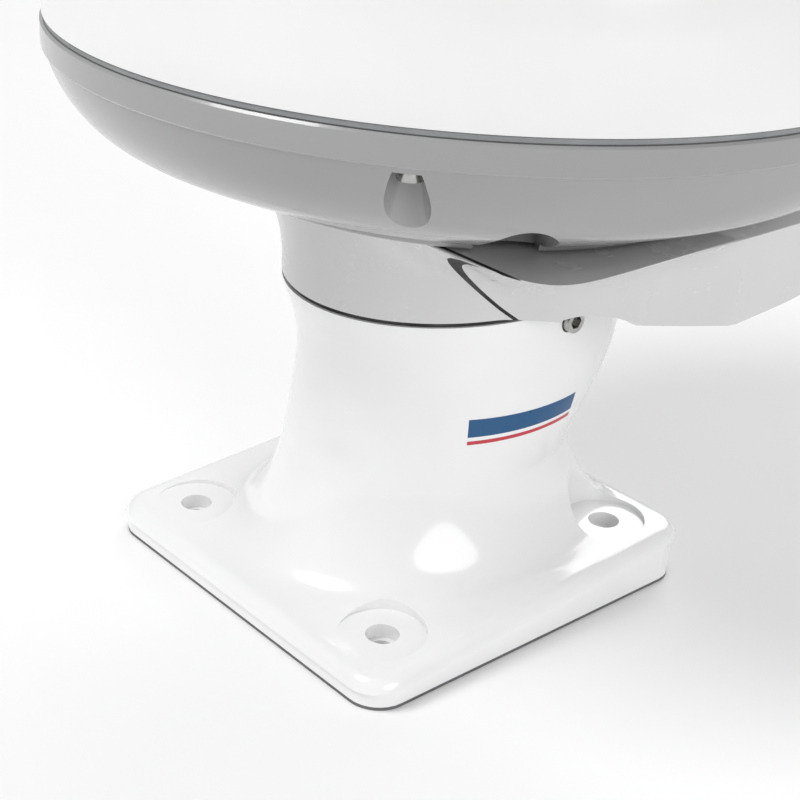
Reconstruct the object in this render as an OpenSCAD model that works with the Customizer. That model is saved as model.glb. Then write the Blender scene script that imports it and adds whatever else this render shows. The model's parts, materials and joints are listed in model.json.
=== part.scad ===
// Marine radar dome on a wedge-based cast pedestal.
// +X is forward, +Y is port, +Z is up. The origin is on the dome's axis at the deck.

/* [Base plate] */
// Side length of the square base plate
plate_w = 178; // [170:1:190]
// Corner radius of the base plate
plate_corner = 15; // [10:1:20]
// Forward offset of the plate's centre from the dome axis
plate_x = 25; // [20:1:30]
// Rim height of the plate at its forward edge
rim_front = 7.1; // [6:0.1:9]
// Wedge angle of the plate's top
wedge_deg = 3.9; // [3:0.1:5]
// Distance from the plate's centre to the deck bolts, along each side
bolt_half = 62.6; // [60:0.1:65]
// Radius of the deck bolt holes
bolt_hole_r = 4.4; // [4:0.1:5]
// Radius of the counterbore over each deck bolt
bolt_counter_r = 6.7; // [6:0.1:7]

/* [Column] */
// Height where the foot flare meets the column
flare_top = 55; // [52:1:58]
// Height of the neck joint on the dome axis
neck_z = 131.4; // [130:0.1:134]
// Fore and aft half length of the neck oval
neck_a = 75.5; // [74:0.5:78]
// Half width of the neck oval
neck_b = 64.5; // [63:0.5:67]
// Aft rise of the neck joint
neck_tilt = 3.4; // [3:0.1:4]
// Wall thickness of the casting
cast_wall = 6; // [5:0.5:7]
// Radius of the cable opening through the neck
neck_bore_r = 40; // [36:1:42]

/* [Adapter] */
// Height of the adapter's top face
top_z = 172; // [170:0.5:174]
// Half width of the adapter's top face
top_half_w = 121; // [118:1:124]
// Forward reach of the adapter's top face
top_front = 80; // [78:1:82]
// Aft reach of the adapter's top face
top_aft = 100; // [96:1:106]
// Thickness of the adapter's top face
top_t = 5; // [4:0.5:6]

/* [Dome] */
// Outer radius of the dome at its joint
dome_r = 166; // [164:0.5:168]
// Height of the joint between pan and radome
seam_z = 228; // [227:0.5:230]
// Thickness of the joint's gasket
seam_t = 2.4; // [2:0.1:3]
// Height of the dome's crown
crown_z = 360; // [350:1:370]
// Wall thickness of pan and radome
shell_t = 3.5; // [3:0.1:4]

/* [Drive] */
// Teeth of the antenna's drive gear
gear_teeth = 90; // [80:10:90]
// Teeth of the motor's pinion
pinion_teeth = 18; // [16:2:18]
// Gear module
gear_m = 1; // [1:1:1]

/* [Antenna] */
// Length of the antenna array
array_l = 264; // [240:2:268]
// Height of the antenna array
array_h = 46; // [40:1:50]

/* [Hidden] */

$fn = 96;
gap = 0.01;
gasket_t = 1.5;
around = 72;
slope = tan(wedge_deg);
neck_slope = tan(neck_tilt);
neck_x = 2.2;
neck_gasket_t = 2;
half = plate_w / 2;
rim_r = 6;
rim_inset = 1.3;
spot_r = 17.5;
bolt_xy = [for (sx = [-1, 1], sy = [-1, 1]) [plate_x + sx * bolt_half, sy * bolt_half]];

// Rounded square outline as a radius at an angle from the plate's centre
function square_r(a, h, corner) =
    let (c = abs(cos(a)), s = abs(sin(a)), flat = h / max(c, s), k = h - corner,
         inside = flat * min(c, s) <= k,
         b = k * (c + s), root = b * b - 2 * k * k + corner * corner)
    inside ? flat : b + sqrt(max(root, 0));

// Height of the plate's rim crease at x
function crease_z(x) = rim_front + (plate_x + half - x) * slope;

// Column sections from flare to neck: height, centre, half length, half width
SECTIONS = [[flare_top, 12.5, 65.5, 54], [77, 4.5, 68, 58], [98, -1.5, 71, 61],
    [115, -1, 73, 62.8], [neck_z, neck_x, neck_a, neck_b]];

function section_at(z, i = 0) =
    let (p = SECTIONS[i], q = SECTIONS[i + 1])
    (z <= q[0] || i == len(SECTIONS) - 2)
        ? let (before = i == 0 ? p : SECTIONS[i - 1],
               after = i == len(SECTIONS) - 2 ? q : SECTIONS[i + 2],
               t = (z - p[0]) / (q[0] - p[0]),
               m0 = (q - before) / 2, m1 = (after - p) / 2)
          p * (2 * t^3 - 3 * t^2 + 1) + m0 * (t^3 - 2 * t^2 + t)
              + q * (3 * t^2 - 2 * t^3) + m1 * (t^3 - t^2)
        : section_at(z, i + 1);

function oval_point(a, half_a, half_b, centre) =
    [centre + half_a * cos(a), half_b * sin(a)];

// One ring of the column at nominal height z, tilting towards the neck's slope
function column_ring(z, inset, n = around) =
    let (s = section_at(z), k = (z - flare_top) / (neck_z - flare_top))
    [for (i = [0 : n - 1])
        let (p = oval_point(360 * i / n, s[2] - inset, s[3] - inset, s[1]))
        [p[0], p[1], z - (p[0] - s[1]) * neck_slope * k]];

// One ring of the plate's side and rim; up is 0 at the crease and 1 on top of the rim
function rim_ring(inset, up) =
    [for (i = [0 : around - 1])
        let (a = 360 * i / around, r = square_r(a, half - inset, plate_corner - inset),
             x = plate_x + r * cos(a))
        [x, r * sin(a), crease_z(x) + rim_r * up]];

// One ring of the foot flare; u is 0 at the rim and 1 at the column
function flare_ring(u) =
    let (s = section_at(flare_top))
    [for (i = [0 : around - 1])
        let (a = 360 * i / around,
             r = square_r(a, half - rim_r, plate_corner - rim_r),
             foot = [plate_x + r * cos(a), r * sin(a)],
             top = oval_point(a, s[2], s[3], s[1]),
             p = foot + (top - foot) * u, reach = norm(foot - top),
             decay = 9.5 + 2.5 * max(0, -cos(a)),
             foot_z = crease_z(p[0]) + rim_r)
        [p[0], p[1], foot_z + (flare_top - foot_z) * pow(u, reach / decay)]];

// Closed solid through a stack of rings with the same number of points, capped by fans
module loft(rings) {
    n = len(rings[0]);
    count = len(rings);
    low = rings[0];
    high = rings[count - 1];
    points = concat([for (ring = rings, p = ring) p],
        [(low[0] + low[n / 2]) / 2, (high[0] + high[n / 2]) / 2]);
    sides = [for (k = [0 : count - 2], i = [0 : n - 1])
        let (j = (i + 1) % n, a = k * n + i, b = k * n + j, c = a + n, d = b + n)
        each [[a, c, b], [b, c, d]]];
    caps = [for (i = [0 : n - 1])
        let (j = (i + 1) % n, up = (count - 1) * n)
        each [[count * n, i, j], [count * n + 1, up + j, up + i]]];
    polyhedron(points, concat(sides, caps), convexity = 8);
}

module rounded_square(w, corner) {
    for (turn = [0, 90])
        rotate(turn) square([w, w - 2 * corner], center = true);
    for (sx = [-1, 1], sy = [-1, 1])
        translate([sx * (w / 2 - corner), sy * (w / 2 - corner)]) circle(corner);
}

module oval(half_a, half_b) {
    polygon([for (i = [0 : around - 1]) oval_point(360 * i / around, half_a, half_b, 0)]);
}

module tube(r_out, r_in, h) {
    difference() {
        cylinder(r = r_out, h = h);
        translate([0, 0, -1]) cylinder(r = r_in, h = h + 2);
    }
}

// Places its children on the tilted plane of the neck joint
module on_neck(height = 0) {
    translate([neck_x, 0, neck_z]) rotate([0, neck_tilt, 0]) translate([0, 0, height])
        children();
}

// ---- Base and column ----

module base_gasket() {
    color("dimgray") difference() {
        translate([plate_x, 0, 0]) linear_extrude(gasket_t) difference() {
            rounded_square(plate_w - 2 * rim_inset, plate_corner - rim_inset);
            circle(58);
        }
        for (p = bolt_xy)
            translate([p[0], p[1], -1]) cylinder(r = bolt_hole_r + 0.4, h = 5);
    }
}

lock_z = 125.3;
lock_r = 3;
lock_head_r = 4.6;

module pedestal_casting() {
    z0 = gasket_t;
    lower = [for (p = rim_ring(rim_inset, 0)) [p[0], p[1], z0]];
    outer = concat([lower, rim_ring(rim_inset, 0), rim_ring(0, 0.03)],
        [for (t = [30, 60, 90]) rim_ring(rim_r * (1 - cos(t)), sin(t))],
        [for (u = [0.12 : 0.11 : 1]) flare_ring(u)],
        [for (z = [flare_top, 62, 70, 80, 90, 100, 110, 120, neck_z]) column_ring(z, 0)]);
    flange_z = 118;
    inner = [for (z = [flare_top, 70, 85, 100, flange_z]) column_ring(z, cast_wall)];
    cavity_r = 56;
    color("whitesmoke") difference() {
        loft(outer);
        loft(inner);
        translate([plate_x - 4, 0, -1]) cylinder(r = cavity_r, h = 32);
        translate([16, 0, 30]) cylinder(r = 47, h = 27);
        on_neck(-30) cylinder(r = neck_bore_r, h = 40);
        for (p = bolt_xy) {
            spot_z = crease_z(p[0]) + rim_r - 0.8;
            translate([p[0], p[1], -1]) cylinder(r = bolt_hole_r, h = 60);
            translate([p[0], p[1], spot_z - 6]) cylinder(r = bolt_counter_r, h = 40);
            translate([p[0], p[1], spot_z]) cylinder(r = spot_r, h = 40);
        }
        for (a = NECK_BOLTS) on_neck(-30) translate(a) cylinder(r = neck_bolt_r, h = 40);
        for (s = [-1, 1]) {
            translate([0, s * 45, lock_z]) rotate([-90 * s, 0, 0])
                cylinder(r = lock_r, h = 40);
            translate([0, s * 60.5, lock_z]) rotate([-90 * s, 0, 0])
                cylinder(r = lock_head_r + 0.6, h = 20);
        }
    }
}

module lock_bolts() {
    color("dimgray") for (s = [-1, 1])
        translate([0, s * 60.5, lock_z]) rotate([-90 * s, 0, 0]) difference() {
            union() {
                cylinder(r = lock_head_r, h = 6);
                translate([0, 0, -12]) cylinder(r = lock_r, h = 12);
            }
            translate([0, 0, 2.5]) cylinder(r = 2.9, h = 5, $fn = 6);
        }
}

module neck_gasket() {
    color("black") difference() {
        on_neck() linear_extrude(neck_gasket_t) oval(neck_a - 1.2, neck_b - 1.2);
        on_neck(-5) cylinder(r = neck_bore_r, h = 12);
        for (a = NECK_BOLTS) on_neck(-5) translate(a) cylinder(r = neck_bolt_r, h = 12);
    }
}

neck_bolt_r = 4;
neck_bolt_ring = 50;
NECK_BOLTS = [for (a = [45 : 90 : 315]) [neck_bolt_ring * cos(a), neck_bolt_ring * sin(a), 0]];

// ---- Adapter ----

wall = 4;
seam_gap = 0.6;

// Rounded rectangle of the top face as a radius at an angle from the dome axis
function top_r(a, inset) =
    let (reach = (cos(a) > 0 ? top_front : top_aft) - inset, w = top_half_w - inset, n = 9)
    pow(pow(abs(cos(a)) / reach, n) + pow(abs(sin(a)) / w, n), -1 / n);

// Radius of the adapter's lower edge: the neck oval forward, the full width aft
function low_r(a, inset) =
    let (turn = a > 180 ? 360 - a : a,
         c = cos(turn) / neck_a, s = sin(turn) / neck_b,
         oval_r = 1 / sqrt(c * c + s * s) + neck_x * cos(turn),
         blend = pow(min(1, max(0, (turn - 58) / 46)), 1.7))
    oval_r - inset + (0.97 * top_r(a, inset) - oval_r + inset) * blend;

adapter_z = neck_z + neck_gasket_t / cos(neck_tilt);

// One ring of the adapter; t is 0 at its lower edge and 1 at its top
function adapter_ring(t, inset) =
    [for (i = [0 : around - 1])
        let (a = 360 * i / around, lo = low_r(a, inset), hi = top_r(a, inset),
             r = lo + (hi - lo) * pow(t, 2.6),
             z_edge = adapter_z - (r * cos(a) - neck_x) * neck_slope)
        [r * cos(a), r * sin(a), z_edge + (top_z - z_edge) * t]];

// A ring's outline, laid flat at a height
function flat_ring(ring, z) = [for (p = ring) [p[0], p[1], z]];

module adapter_outside() {
    loft([for (t = [0, 0.2, 0.4, 0.55, 0.7, 0.82, 0.93, 0.985]) adapter_ring(t, 0),
          adapter_ring(1, 1.2)]);
}

// The hollow under the top face; it narrows below the roof to keep the flare's wall thick
module adapter_inside() {
    roof_ring = 0.72;
    loft(concat([[for (p = adapter_ring(0, wall)) p - [0, 0, 12]]],
        [for (t = [0, 0.2, 0.4, 0.55]) adapter_ring(t, wall)],
        [flat_ring(adapter_ring(roof_ring, wall), top_z - top_t)]));
}

// Half space on one side of the slanted joint between collar and housing
module seam_side(from, to) {
    span = 400;
    translate([29, 0, 131]) rotate([0, -40.5, 0])
        translate([-span / 2, -span / 2, from]) cube([span, span, to - from]);
}

module neck_flange() {
    flange_t = 6;
    on_neck(neck_gasket_t) linear_extrude(flange_t) oval(neck_a - 2, neck_b - 2);
}

module adapter_shell() {
    difference() {
        adapter_outside();
        adapter_inside();
    }
    neck_flange();
}

module adapter_holes() {
    on_neck(-5) cylinder(r = neck_bore_r, h = 20);
    for (a = NECK_BOLTS) on_neck(-5) translate(a) cylinder(r = neck_bolt_r + 0.4, h = 30);
    translate([0, 0, top_z - 20]) cylinder(r = 30, h = 30);
    for (p = DOME_BOLTS) translate([p[0], p[1], top_z - 20]) cylinder(r = 4.4, h = 30);
    for (s = [-1, 1])
        translate([8, s * 66, 119.5]) rotate([-90 * s, 0, 0]) cylinder(r = 17, h = 80);
}

module front_collar() {
    color("gainsboro") difference() {
        adapter_shell();
        seam_side(-seam_gap, 200);
        adapter_holes();
    }
}

// Stiffening ribs from the neck flange to the skirt: angle and reach
RIBS = [[105, 119], [155, 104.5], [205, 104.5], [255, 119]];

module rear_housing() {
    rib_t = 4;
    rib_start = 64;
    color("gainsboro") difference() {
        union() {
            adapter_shell();
            for (rib = RIBS) rotate(rib[0])
                translate([rib_start, -rib_t / 2, 139]) cube([rib[1] - rib_start, rib_t, 30]);
        }
        seam_side(-200, seam_gap);
        adapter_holes();
    }
}

module housing_gasket() {
    color("black") intersection() {
        difference() {
            adapter_outside();
            adapter_inside();
            adapter_holes();
        }
        seam_side(-seam_gap, seam_gap);
    }
}

module neck_bolts() {
    color("silver") for (a = NECK_BOLTS) on_neck(neck_gasket_t + 6 + 1.6) translate(a) {
        difference() {
            cylinder(r = 6.5, h = 8);
            translate([0, 0, 3.5]) cylinder(r = 3.4, h = 6, $fn = 6);
        }
        translate([0, 0, -22]) cylinder(r = neck_bolt_r - 0.1, h = 22 + gap);
    }
}

module neck_washers() {
    color("silver") for (a = NECK_BOLTS)
        on_neck(neck_gasket_t + 6) translate(a) tube(8, neck_bolt_r + 0.2, 1.6);
}

// ---- Dome mounting ----

DOME_BOLTS = [for (sx = [-1, 1], sy = [-1, 1]) [sx * 44, sy * 62]];
pad_t = 1;
foot_z = top_z + pad_t;
floor_z = 183;

module dome_pads() {
    color("dimgray") for (p = DOME_BOLTS)
        translate([p[0], p[1], top_z]) tube(8.5, 4.4, pad_t);
}

module dome_mount_bolts() {
    color("silver") for (p = DOME_BOLTS) translate([p[0], p[1], top_z - top_t]) {
        difference() {
            translate([0, 0, -6]) cylinder(r = 6.5, h = 6);
            translate([0, 0, -7]) cylinder(r = 3.4, h = 4, $fn = 6);
        }
        translate([0, 0, -gap]) cylinder(r = 3.9, h = 16);
    }
}

module pan_inserts() {
    color("goldenrod") for (p = DOME_BOLTS)
        translate([p[0], p[1], foot_z + 1]) tube(6, 3.9, 10);
}

// ---- Dome shells ----

pan_flat_r = 100;
foot_in_r = 97;
foot_out_r = 106;
foot_slope = 0.43;
screw_ring = 156;
pocket_ring = 158.5;
SCREW_ANGLES = [39, 141, 219, 321];
notch_deg = 53.5;
notch_r = 11.5;
notch_z = 185;
pocket_r = 7.3;
pocket_top = 216;

// The pan's surface from its foot to the joint: a shallow cone that runs softly into an oval
function pan_curve(inset) =
    [for (t = [0 : 6 : 90])
        let (r = pan_flat_r + (dome_r - pan_flat_r - inset) * sin(t),
             oval = seam_z - (seam_z - foot_z - 2 - inset) * cos(t),
             cone = foot_z + 1.09 * inset + (r - foot_out_r) * foot_slope,
             blend = 1.5 * cos(t))
        [r, (oval + cone) / 2 + sqrt(pow((oval - cone) / 2, 2) + blend * blend)]];

module pan_half() {
    inner_foot = 129;
    outer = concat([[foot_in_r, foot_z], [foot_out_r, foot_z]],
        [for (p = pan_curve(0)) if (p[0] > foot_out_r) p]);
    inside = pan_curve(shell_t);
    rim = [[dome_r - 22, seam_z], [dome_r - 22, seam_z - 4], [dome_r - shell_t - 1, seam_z - 6]];
    low = [[inner_foot, floor_z + shell_t], [0, floor_z + shell_t], [0, floor_z], [foot_in_r, floor_z]];
    polygon(concat(outer, rim,
        [for (i = [len(inside) - 1 : -1 : 0])
            if (inside[i][1] < seam_z - 8 && inside[i][0] > inner_foot + 2) inside[i]], low));
}

// Radial cable channel with a round top
module notch_shape(r, start, low) {
    rotate(notch_deg) {
        translate([start, 0, notch_z]) rotate([0, 90, 0]) cylinder(r = r, h = dome_r - start);
        translate([start, -r, low]) cube([dome_r - start, 2 * r, notch_z - low]);
    }
}

module lower_pan() {
    color("lightgray") difference() {
        union() {
            rotate_extrude($fn = 128) pan_half();
            intersection() {
                union() {
                    for (a = SCREW_ANGLES) rotate(a) translate([pocket_ring, 0, floor_z])
                        cylinder(r = pocket_r + 2.5, h = seam_z - floor_z);
                    notch_shape(notch_r + 3, foot_in_r - shell_t, floor_z);
                }
                rotate_extrude($fn = 128) pan_fill();
            }
            for (p = DOME_BOLTS) translate([p[0], p[1], foot_z]) cylinder(r = 10, h = 14);
        }
        for (a = SCREW_ANGLES) rotate(a) {
            translate([pocket_ring, 0, foot_z]) cylinder(r = pocket_r, h = pocket_top - foot_z);
            translate([screw_ring, 0, foot_z]) cylinder(r = 2.6, h = 70);
        }
        for (p = DOME_BOLTS) {
            translate([p[0], p[1], foot_z - 1]) cylinder(r = 4.1, h = 4);
            translate([p[0], p[1], foot_z + 1]) cylinder(r = 6, h = 11);
        }
        notch_shape(notch_r, foot_in_r, foot_z - 2);
        for (p = SOCKETS) translate([p[0], p[1], floor_z - 1]) cylinder(r = p[2], h = 10);
        translate([-40, 0, floor_z - 1]) cylinder(r = 4, h = 10);
    }
}

// The space above the pan's floor, used to trim the screw bosses and the channel
module pan_fill() {
    polygon(concat([[0, floor_z]], [for (p = pan_curve(0)) if (p[1] > floor_z) p], [[0, seam_z]]));
}

module radome_gasket() {
    color("gray") translate([0, 0, seam_z]) tube(dome_r - 1.5, dome_r - 7, seam_t);
}

radome_z = seam_z + seam_t;

// Point on the radome's profile, a squarish quarter oval
function radome_point(t, inset) =
    [(dome_r - inset) * pow(cos(t), 0.62),
     radome_z + (crown_z - inset - radome_z) * pow(sin(t), 0.62)];

module radome_half() {
    polygon(concat([for (t = [0 : 5 : 90]) radome_point(t, 0)],
        [for (t = [90 : -5 : 0]) radome_point(t, shell_t)]));
}

module upper_radome() {
    color("white") difference() {
        union() {
            rotate_extrude($fn = 128) radome_half();
            for (a = SCREW_ANGLES) rotate(a)
                translate([screw_ring, 0, radome_z]) cylinder(r = 8.5, h = 14);
        }
        for (a = SCREW_ANGLES) rotate(a)
            translate([screw_ring, 0, radome_z - 1]) cylinder(r = 2.5, h = 13);
    }
}

module radome_screws() {
    color("silver") for (a = SCREW_ANGLES) rotate(a) translate([screw_ring, 0, 0]) {
        difference() {
            translate([0, 0, pocket_top - 4]) cylinder(r = 4.5, h = 4);
            translate([0, 0, pocket_top - 5]) cylinder(r = 2, h = 3, $fn = 6);
        }
        translate([0, 0, pocket_top - gap]) cylinder(r = 2.45, h = 26);
    }
}

// ---- Sockets and vent under the pan ----

SOCKETS = [[24, 40, 9], [50, 20, 8]];

module socket(r, pins) {
    difference() {
        union() {
            translate([0, 0, floor_z - 1.5]) cylinder(r = r + 2.5, h = 1.5);
            translate([0, 0, floor_z]) cylinder(r = r, h = 12);
        }
        translate([0, 0, floor_z - 2]) cylinder(r = r - 1.8, h = 11);
    }
    for (i = [0 : pins - 1]) rotate(360 * i / pins)
        translate([r / 2.6, 0, floor_z + 2]) cylinder(r = 0.8, h = 7 + gap);
}

module data_socket() {
    color("dimgray") translate([SOCKETS[0][0], SOCKETS[0][1], 0]) socket(SOCKETS[0][2], 8);
}

module power_socket() {
    color("dimgray") translate([SOCKETS[1][0], SOCKETS[1][1], 0]) socket(SOCKETS[1][2], 3);
}

module vent_plug() {
    color("gray") translate([-40, 0, 0]) {
        translate([0, 0, floor_z - 2]) cylinder(r = 6.5, h = 2);
        translate([0, 0, floor_z - gap]) cylinder(r = 4, h = 6);
    }
}

// ---- Chassis and electronics ----

chassis_z = 200;
chassis_t = 3;
chassis_r = 128;
deck = chassis_z + chassis_t;
POSTS = [for (a = [20 : 90 : 290]) [112 * cos(a), 112 * sin(a)]];

module chassis_plate() {
    color("silver") difference() {
        translate([0, 0, chassis_z]) cylinder(r = chassis_r, h = chassis_t);
        for (p = POSTS) translate([p[0], p[1], chassis_z - 1]) cylinder(r = 2.2, h = 5);
        translate([-20, 52, chassis_z - 1]) cylinder(r = 12, h = 5);
        translate([24, 40, chassis_z - 1]) cylinder(r = 11, h = 5);
    }
}

module chassis_standoffs() {
    color("goldenrod") for (p = POSTS) translate([p[0], p[1], floor_z + shell_t])
        tube(4.5, 1.6, chassis_z - floor_z - shell_t);
}

module chassis_screws() {
    color("silver") for (p = POSTS) translate([p[0], p[1], deck]) {
        cylinder(r = 3.4, h = 2.4);
        translate([0, 0, -10]) cylinder(r = 1.6, h = 10 + gap);
    }
}

tower_top = deck + 27;
tower_bore = 21;
race_h = 8;
RACES = [tower_top - 2 * race_h - 2, tower_top - race_h];

module bearing_tower() {
    color("silver") difference() {
        union() {
            translate([0, 0, deck]) cylinder(r = 26, h = tower_top - deck);
            translate([0, 0, deck]) cylinder(r = 31, h = 3);
        }
        translate([0, 0, RACES[0]]) cylinder(r = tower_bore, h = 40);
        translate([0, 0, deck - 1]) cylinder(r = 16, h = 40);
    }
}

module bearing_outer_races() {
    color("silver") for (z = RACES) translate([0, 0, z]) tube(tower_bore, 16.8, race_h);
}

module bearing_inner_races() {
    color("silver") for (z = RACES) translate([0, 0, z]) tube(15.6, 12, race_h);
}

hub_z = tower_top + 3;
gear_z = hub_z + 3;
gear_h = 8;
bracket_z = hub_z + 15;

module spindle() {
    color("silver") difference() {
        union() {
            translate([0, 0, RACES[0]]) cylinder(r = 12, h = bracket_z - RACES[0]);
            translate([0, 0, tower_top]) cylinder(r = 14.5, h = hub_z - tower_top);
        }
        translate([0, 0, deck]) cylinder(r = 7.5, h = 80);
    }
}

// Toothed outline with straight flanks and running backlash
module toothed(teeth) {
    pitch_r = gear_m * teeth / 2;
    root = pitch_r - 1.2 * gear_m;
    tip = pitch_r + 0.85 * gear_m;
    step = 360 / teeth;
    flank = [[root, 0.36], [pitch_r, 0.2], [tip, 0.09]];
    polygon([for (i = [0 : teeth - 1])
        each concat([for (k = [0 : 2]) flank[k][0]
                * [cos((i - flank[k][1]) * step), sin((i - flank[k][1]) * step)]],
            [for (k = [2 : -1 : 0]) flank[k][0]
                * [cos((i + flank[k][1]) * step), sin((i + flank[k][1]) * step)]])]);
}

module drive_gear() {
    color("ivory") difference() {
        union() {
            translate([0, 0, gear_z]) linear_extrude(gear_h) toothed(gear_teeth);
            translate([0, 0, hub_z]) cylinder(r = 20, h = bracket_z - hub_z);
        }
        translate([0, 0, hub_z - 1]) cylinder(r = 12, h = 30);
        for (a = [30 : 60 : 330]) rotate(a) translate([31, 0, gear_z - 1]) cylinder(r = 7, h = 10);
        rotate(0) translate([40, 0, gear_z - 1]) cylinder(r = 2, h = 4);
        for (a = [45 : 90 : 315]) rotate(a) translate([15, 0, bracket_z - 9])
            cylinder(r = 1.4, h = 12);
    }
}

module zero_magnet() {
    color("silver") translate([40, 0, gear_z]) cylinder(r = 2, h = 3);
}

centre_distance = gear_m * (gear_teeth + pinion_teeth) / 2;
motor_w = 42;
motor_top = deck + 26;

module motor() {
    color("dimgray") translate([centre_distance, 0, 0]) difference() {
        union() {
            translate([0, 0, deck + 2]) linear_extrude(motor_top - deck - 2)
                rounded_square(motor_w, 5);
            translate([0, 0, motor_top - gap]) cylinder(r = 11, h = 2);
        }
        translate([0, 0, motor_top - 10]) cylinder(r = 2.55, h = 20);
    }
}

module motor_mount() {
    color("silver") translate([centre_distance, 0, motor_top]) difference() {
        translate([-motor_w / 2, -36, 0]) cube([motor_w, 72, 3]);
        translate([0, 0, -1]) cylinder(r = 11.1, h = 6);
        for (s = [-1, 1]) translate([0, s * 30, -1]) cylinder(r = 2.2, h = 6);
    }
}

module motor_posts() {
    color("silver") for (s = [-1, 1]) translate([centre_distance, s * 30, deck]) {
        cylinder(r = 4.5, h = motor_top - deck);
        cylinder(r = 2.2, h = motor_top - deck + 3);
        translate([0, 0, motor_top - deck + 3 - gap]) cylinder(r = 4, h = 2.6);
    }
}

module motor_shaft() {
    color("silver") translate([centre_distance, 0, motor_top - 8]) cylinder(r = 2.5, h = 24);
}

module motor_pinion() {
    half_tooth = 180 / pinion_teeth;
    color("goldenrod") translate([centre_distance, 0, gear_z - 0.5]) difference() {
        union() {
            rotate(180 + half_tooth) linear_extrude(gear_h + 1) toothed(pinion_teeth);
            translate([0, 0, gear_h + 1 - gap]) cylinder(r = 6, h = 3);
        }
        translate([0, 0, -1]) cylinder(r = 2.5, h = 20);
    }
}

module rotary_joint_stator() {
    color("goldenrod") translate([0, 0, deck]) {
        cylinder(r = 13, h = 3);
        cylinder(r = 5.5, h = bracket_z - deck + 6);
    }
}

module rotary_joint_rotor() {
    color("goldenrod") translate([0, 0, bracket_z + 3]) difference() {
        cylinder(r = 12, h = 12);
        translate([0, 0, -1]) cylinder(r = 6.5, h = 6);
    }
}

array_x = 20;
array_z = bracket_z + 3;
array_t = 10;

module antenna_bracket() {
    leg = array_l * 0.3;
    color("silver") difference() {
        union() {
            translate([0, 0, bracket_z]) cylinder(r = 19, h = 3);
            translate([0, -leg, bracket_z]) cube([array_x - 3, 2 * leg, 3]);
            translate([array_x - 6, -leg, bracket_z]) cube([3, 2 * leg, 40]);
            for (s = [-1, 1]) translate([0, s * (leg - 1.5) - 1.5, bracket_z])
                rotate([90, 0, 90]) linear_extrude(array_x - 4) square([3, 30]);
        }
        translate([0, 0, bracket_z - 1]) cylinder(r = 7.5, h = 6);
        for (a = [45 : 90 : 315]) rotate(a) translate([15, 0, bracket_z - 1])
            cylinder(r = 1.7, h = 6);
        for (s = [-1, 1]) translate([array_x - 8, s * leg * 0.55, bracket_z + 22])
            rotate([0, 90, 0]) cylinder(r = 7, h = 8);
    }
}

module bracket_screws() {
    color("silver") for (a = [45 : 90 : 315]) rotate(a) translate([15, 0, bracket_z + 3]) {
        cylinder(r = 2.8, h = 2);
        translate([0, 0, -10]) cylinder(r = 1.35, h = 10 + gap);
    }
}

module antenna_array() {
    color("darkgoldenrod") difference() {
        translate([array_x - 3, -array_l / 2, array_z]) cube([array_t, array_l, array_h]);
        for (i = [0 : 15]) {
            y = (i - 7.5) * array_l / 17;
            translate([array_x + array_t - 5, y - 1.5, array_z + 12])
                cube([4, 3, array_h - 24]);
        }
    }
}

module array_cover() {
    front = array_x - 3 + array_t;
    color("ivory") difference() {
        translate([array_x, -array_l / 2 - 2, array_z - 2])
            cube([front + 6 - array_x, array_l + 4, array_h + 4]);
        translate([array_x - 1, -array_l / 2, array_z])
            cube([front + 4 - array_x, array_l, array_h]);
    }
}

module zero_sensor() {
    color("green") translate([-28, -34, deck]) {
        translate([-4, 0, 0]) cube([8, 12, 1.6]);
        translate([-2, 4, 1.6 - gap]) cube([4, 3, gear_z - deck - 5]);
    }
}

module transceiver_module() {
    color("silver") difference() {
        translate([-112, -32, deck]) cube([74, 64, 18]);
        for (s = [-1, 1]) translate([-104, s * 20, deck + 9]) rotate([0, -90, 0])
            cylinder(r = 4, h = 10);
    }
}

module heat_sink() {
    color("dimgray") translate([-108, -28, deck + 18]) {
        cube([50, 56, 3]);
        for (i = [0 : 8]) translate([0, i * 6.75, 3 - gap]) cube([50, 2, 10]);
    }
}

BOARDS = [[-5, -84], [-5, 84]];

// Circuit board with its larger components
module board(place, chips) {
    translate([place[0], place[1], deck + 6]) {
        translate([-50, -20, 0]) cube([100, 40, 1.6]);
        for (c = chips) translate([c[0], c[1], 1.6 - gap]) cube([c[2], c[3], c[4]]);
    }
}

module power_board() {
    color("darkgreen") board(BOARDS[0],
        [[-44, -14, 22, 26, 16], [-16, -10, 14, 14, 8], [4, -12, 10, 22, 12], [20, -8, 24, 18, 6]]);
    color("black") for (x = [-12, 24])
        translate([BOARDS[0][0] + x, BOARDS[0][1] + 15, deck + 7.6 - gap])
        cylinder(r = 4, h = 12);
}

module processor_board() {
    color("darkgreen") board(BOARDS[1],
        [[-40, -12, 18, 18, 2], [-14, -14, 24, 24, 3], [18, -12, 12, 8, 2], [18, 2, 24, 12, 6]]);
}

module board_standoffs() {
    color("goldenrod") for (b = BOARDS, sx = [-1, 1], sy = [-1, 1])
        translate([b[0] + sx * 46, b[1] + sy * 16, deck]) cylinder(r = 2.5, h = 6);
}

base_gasket();
pedestal_casting();
neck_gasket();
lock_bolts();
front_collar();
rear_housing();
housing_gasket();
neck_bolts();
neck_washers();
dome_pads();
dome_mount_bolts();
pan_inserts();
lower_pan();
radome_gasket();
upper_radome();
radome_screws();
data_socket();
power_socket();
vent_plug();
chassis_plate();
chassis_standoffs();
chassis_screws();
bearing_tower();
bearing_outer_races();
bearing_inner_races();
spindle();
drive_gear();
motor();
motor_mount();
motor_posts();
motor_shaft();
motor_pinion();
rotary_joint_stator();
rotary_joint_rotor();
antenna_bracket();
antenna_array();
array_cover();
bracket_screws();
zero_sensor();
zero_magnet();
transceiver_module();
heat_sink();
power_board();
processor_board();
board_standoffs();
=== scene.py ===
import json
import math

import bpy
from mathutils import Matrix, Vector


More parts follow.
